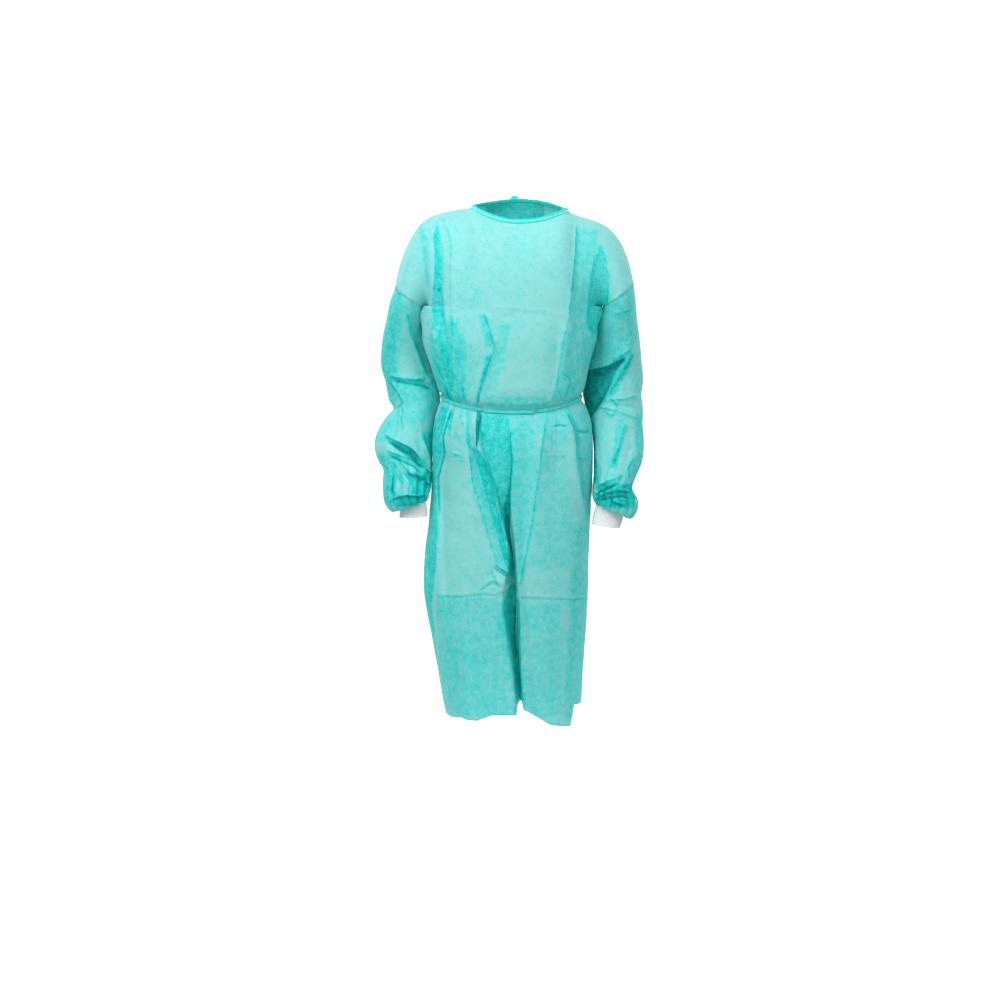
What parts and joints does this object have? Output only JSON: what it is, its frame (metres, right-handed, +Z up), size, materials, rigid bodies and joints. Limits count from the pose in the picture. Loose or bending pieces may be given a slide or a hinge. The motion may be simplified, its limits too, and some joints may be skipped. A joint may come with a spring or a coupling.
{
  "type": "isolation gown",
  "caption": "Mint nonwoven isolation gown, held in its worn hollow shape, with knitted cuffs and a tied belt.",
  "frame": {"origin": "middle of the neck opening, level with the point where neck and shoulder seam meet", "axes": "+Z up, -Y out of the gown's front, +X to the viewer's right, which is the wearer's left"},
  "size_m": [0.551, 0.3425, 1.0665],
  "materials": {
    "cloth": "thin mottled mint nonwoven",
    "tape": "folded turquoise nonwoven tape",
    "knit": "white rib knit"
  },
  "bodies": {
    "root": {"front_panel": "cloth", "back_panel_right": "cloth", "back_panel_left": "cloth", "sleeve_left": "cloth", "sleeve_right": "cloth", "cuff_left": "knit", "cuff_right": "knit", "neck_binding": "tape", "belt": "tape", "belt_knot": "tape", "belt_tail_left": "tape", "belt_tail_right": "tape", "neck_knot": "tape", "neck_tail_left": "tape", "neck_tail_right": "tape"}
  },
  "joints": []
}
